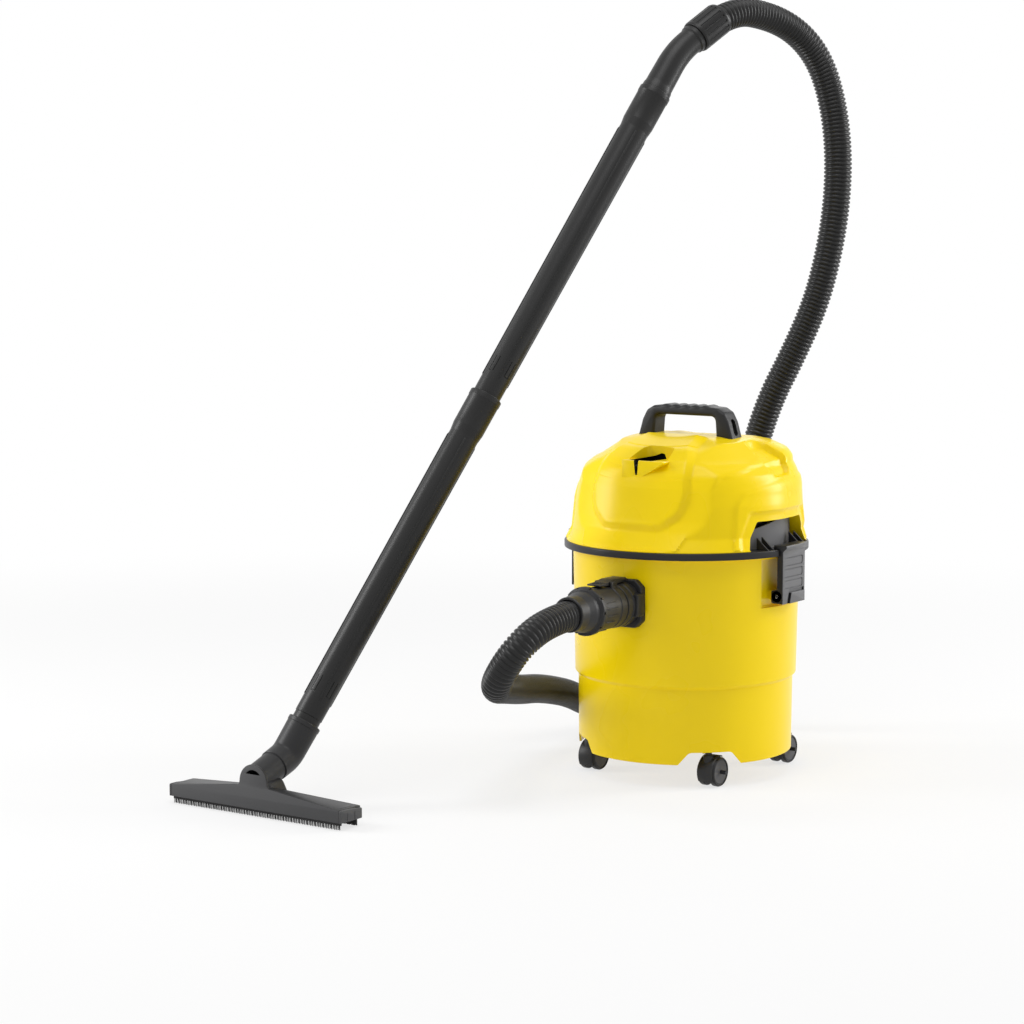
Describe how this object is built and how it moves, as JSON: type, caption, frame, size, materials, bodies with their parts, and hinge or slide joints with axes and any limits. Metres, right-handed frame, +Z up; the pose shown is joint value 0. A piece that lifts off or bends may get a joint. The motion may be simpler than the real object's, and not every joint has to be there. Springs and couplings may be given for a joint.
{
  "type": "wet and dry drum vacuum cleaner",
  "caption": "Drum vacuum cleaner on castors with a lift-off motor head, side latches, ribbed suction hose, bent wand of two tubes and a wide floor nozzle.",
  "frame": {"origin": "floor level under the middle of everything but the suction hose", "axes": "+Z up, -Y to the front where the hose enters the tub, +X to the side of the right-hand latch"},
  "size_m": [0.5616, 0.8366, 0.9857],
  "materials": {
    "tub_yellow": "polished moulded plastic",
    "fitting_black": "fine matt moulded plastic",
    "pin_steel": "turned steel",
    "hose_black": "flexible ribbed plastic",
    "cuff_black": "fluted moulded plastic",
    "latch_grey": "smooth moulded plastic",
    "ring_black": "fine matt moulded plastic",
    "seal_rubber": "soft rubber",
    "cover_yellow": "polished moulded plastic",
    "handle_black": "fine matt moulded plastic",
    "motor_steel": "plain steel can",
    "inner_black": "plain moulded plastic",
    "fan_alloy": "pressed aluminium",
    "foam_grey": "open-cell foam",
    "float_white": "hollow moulded float",
    "switch_black": "matt moulded plastic",
    "rocker_black": "matt moulded plastic",
    "gland_rubber": "soft rubber",
    "tube_black": "satin moulded plastic",
    "nozzle_black": "satin moulded plastic",
    "bristle_black": "stiff bristle",
    "lip_rubber": "soft rubber",
    "castor_black": "fine matt moulded plastic",
    "wheel_grey": "satin moulded plastic"
  },
  "bodies": {
    "base": {"tub": "tub_yellow", "inlet_flange": "fitting_black", "inlet_nut": "fitting_black", "hose_connector": "fitting_black", "lever_pin": "pin_steel", "suction_hose": "hose_black", "hose_cuff": "cuff_black", "latch_pin_right": "pin_steel", "latch_pin_left": "pin_steel"},
    "lever": {"connector_lever": "fitting_black"},
    "latch_r": {"latch_right": "latch_grey"},
    "latch_l": {"latch_left": "latch_grey"},
    "head": {"head_base": "ring_black", "head_seal": "seal_rubber", "head_cover": "cover_yellow", "carry_handle": "handle_black", "motor": "motor_steel", "motor_cover": "inner_black", "fan_housing": "inner_black", "filter_cage": "inner_black", "foam_filter": "foam_grey", "switch_frame": "switch_black", "switch_pin": "pin_steel", "blower_port": "fitting_black", "cord_gland": "gland_rubber"},
    "fan_wheel": {"fan": "fan_alloy"},
    "float": {"float_ball": "float_white"},
    "rocker": {"switch_rocker": "rocker_black"},
    "wand": {"suction_bend": "tube_black", "upper_tube": "tube_black", "lower_tube": "tube_black", "nozzle_elbow": "tube_black"},
    "nozzle": {"nozzle_housing": "nozzle_black", "nozzle_cap_left": "nozzle_black", "nozzle_cap_right": "nozzle_black", "bristle_strip": "bristle_black", "rubber_lip": "lip_rubber"},
    "castor_front_right": {"castor_hood_front_right": "castor_black", "castor_axle_front_right": "pin_steel"},
    "wheel_r_front_right": {"wheel_right_front_right": "wheel_grey"},
    "wheel_l_front_right": {"wheel_left_front_right": "wheel_grey"},
    "castor_rear_right": {"castor_hood_rear_right": "castor_black", "castor_axle_rear_right": "pin_steel"},
    "wheel_r_rear_right": {"wheel_right_rear_right": "wheel_grey"},
    "wheel_l_rear_right": {"wheel_left_rear_right": "wheel_grey"},
    "castor_rear_left": {"castor_hood_rear_left": "castor_black", "castor_axle_rear_left": "pin_steel"},
    "wheel_r_rear_left": {"wheel_right_rear_left": "wheel_grey"},
    "wheel_l_rear_left": {"wheel_left_rear_left": "wheel_grey"},
    "castor_front_left": {"castor_hood_front_left": "castor_black", "castor_axle_front_left": "pin_steel"},
    "wheel_r_front_left": {"wheel_right_front_left": "wheel_grey"},
    "wheel_l_front_left": {"wheel_left_front_left": "wheel_grey"}
  },
  "joints": [
    {"name": "head_lift", "type": "slide", "parent": "base", "child": "head", "axis": [0, 0, 1], "range_m": [0, 0.2]},
    {"name": "latch_right_hinge", "type": "hinge", "parent": "base", "child": "latch_r", "pos_m": [0.26705, 0.1923, 0.2365], "axis": [0, 1, 0], "range_deg": [0, 80]},
    {"name": "latch_left_hinge", "type": "hinge", "parent": "base", "child": "latch_l", "pos_m": [-0.02955, 0.1923, 0.2365], "axis": [0, -1, 0], "range_deg": [0, 80]},
    {"name": "release_lever", "type": "hinge", "parent": "base", "child": "lever", "pos_m": [0.11875, 0.0043, 0.2597], "axis": [1, 0, 0], "range_deg": [0, 5], "stiffness_Nm_per_rad": 0.3, "springref_deg": -2.86},
    {"name": "fan_spin", "type": "hinge", "parent": "head", "child": "fan_wheel", "pos_m": [0.11875, 0.1923, 0.3065], "axis": [0, 0, 1], "continuous": true},
    {"name": "float_rise", "type": "slide", "parent": "head", "child": "float", "axis": [0, 0, 1], "range_m": [0, 0.06]},
    {"name": "switch_rock", "type": "hinge", "parent": "head", "child": "rocker", "pos_m": [0.18876, 0.30451, 0.38378], "axis": [-0.8484, 0.5294, 0], "range_deg": [0, 14]},
    {"name": "hose_swivel", "type": "hinge", "parent": "base", "child": "wand", "pos_m": [0.08567, 0.2601, 0.93126], "axis": [0.3254, 0.7593, 0.5635], "continuous": true},
    {"name": "nozzle_swivel", "type": "hinge", "parent": "wand", "child": "nozzle", "pos_m": [-0.14816, -0.28546, 0.0635], "axis": [0, 0.9452, 0.3264], "range_deg": [-90, 90]},
    {"name": "swivel_front_right", "type": "hinge", "parent": "base", "child": "castor_front_right", "pos_m": [0.20714, 0.10391, 0.06], "axis": [0, 0, 1], "continuous": true},
    {"name": "roll_r_front_right", "type": "hinge", "parent": "castor_front_right", "child": "wheel_r_front_right", "pos_m": [0.20714, 0.11391, 0.0185], "axis": [1, 0, 0], "continuous": true},
    {"name": "roll_l_front_right", "type": "hinge", "parent": "castor_front_right", "child": "wheel_l_front_right", "pos_m": [0.20714, 0.11391, 0.0185], "axis": [1, 0, 0], "continuous": true},
    {"name": "swivel_rear_right", "type": "hinge", "parent": "base", "child": "castor_rear_right", "pos_m": [0.20714, 0.28069, 0.06], "axis": [0, 0, 1], "continuous": true},
    {"name": "roll_r_rear_right", "type": "hinge", "parent": "castor_rear_right", "child": "wheel_r_rear_right", "pos_m": [0.20714, 0.29069, 0.0185], "axis": [1, 0, 0], "continuous": true},
    {"name": "roll_l_rear_right", "type": "hinge", "parent": "castor_rear_right", "child": "wheel_l_rear_right", "pos_m": [0.20714, 0.29069, 0.0185], "axis": [1, 0, 0], "continuous": true},
    {"name": "swivel_rear_left", "type": "hinge", "parent": "base", "child": "castor_rear_left", "pos_m": [0.03036, 0.28069, 0.06], "axis": [0, 0, 1], "continuous": true},
    {"name": "roll_r_rear_left", "type": "hinge", "parent": "castor_rear_left", "child": "wheel_r_rear_left", "pos_m": [0.03036, 0.29069, 0.0185], "axis": [1, 0, 0], "continuous": true},
    {"name": "roll_l_rear_left", "type": "hinge", "parent": "castor_rear_left", "child": "wheel_l_rear_left", "pos_m": [0.03036, 0.29069, 0.0185], "axis": [1, 0, 0], "continuous": true},
    {"name": "swivel_front_left", "type": "hinge", "parent": "base", "child": "castor_front_left", "pos_m": [0.03036, 0.10391, 0.06], "axis": [0, 0, 1], "continuous": true},
    {"name": "roll_r_front_left", "type": "hinge", "parent": "castor_front_left", "child": "wheel_r_front_left", "pos_m": [0.03036, 0.11391, 0.0185], "axis": [1, 0, 0], "continuous": true},
    {"name": "roll_l_front_left", "type": "hinge", "parent": "castor_front_left", "child": "wheel_l_front_left", "pos_m": [0.03036, 0.11391, 0.0185], "axis": [1, 0, 0], "continuous": true}
  ]
}
